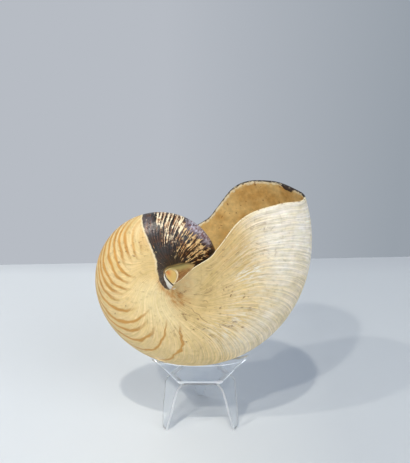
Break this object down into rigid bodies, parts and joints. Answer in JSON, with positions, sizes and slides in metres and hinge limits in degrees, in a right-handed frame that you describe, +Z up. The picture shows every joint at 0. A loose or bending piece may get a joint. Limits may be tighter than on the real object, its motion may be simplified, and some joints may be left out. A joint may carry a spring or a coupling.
{
  "type": "nautilus shell on clear stand",
  "caption": "Faded chambered nautilus shell with orange-brown stripes on its coil, lying mouth up in the raised wings of a clear bent acrylic stand.",
  "frame": {"origin": "on the surface the stand's feet rest on, under the middle of the whole object's box", "axes": "+Z up; the shell coils in the XZ plane with its mouth opening up and towards +X; -Y is the side the stand's front wing faces"},
  "size_m": [0.162, 0.0948, 0.1944],
  "materials": {
    "nautilus_shell": "satin ivory shell with orange-brown stripes and chalky patches",
    "clear_acrylic": "clear cast acrylic sheet with polished faces and bright edges"
  },
  "bodies": {
    "root": {"shell": "nautilus_shell", "stand": "clear_acrylic"}
  },
  "joints": []
}
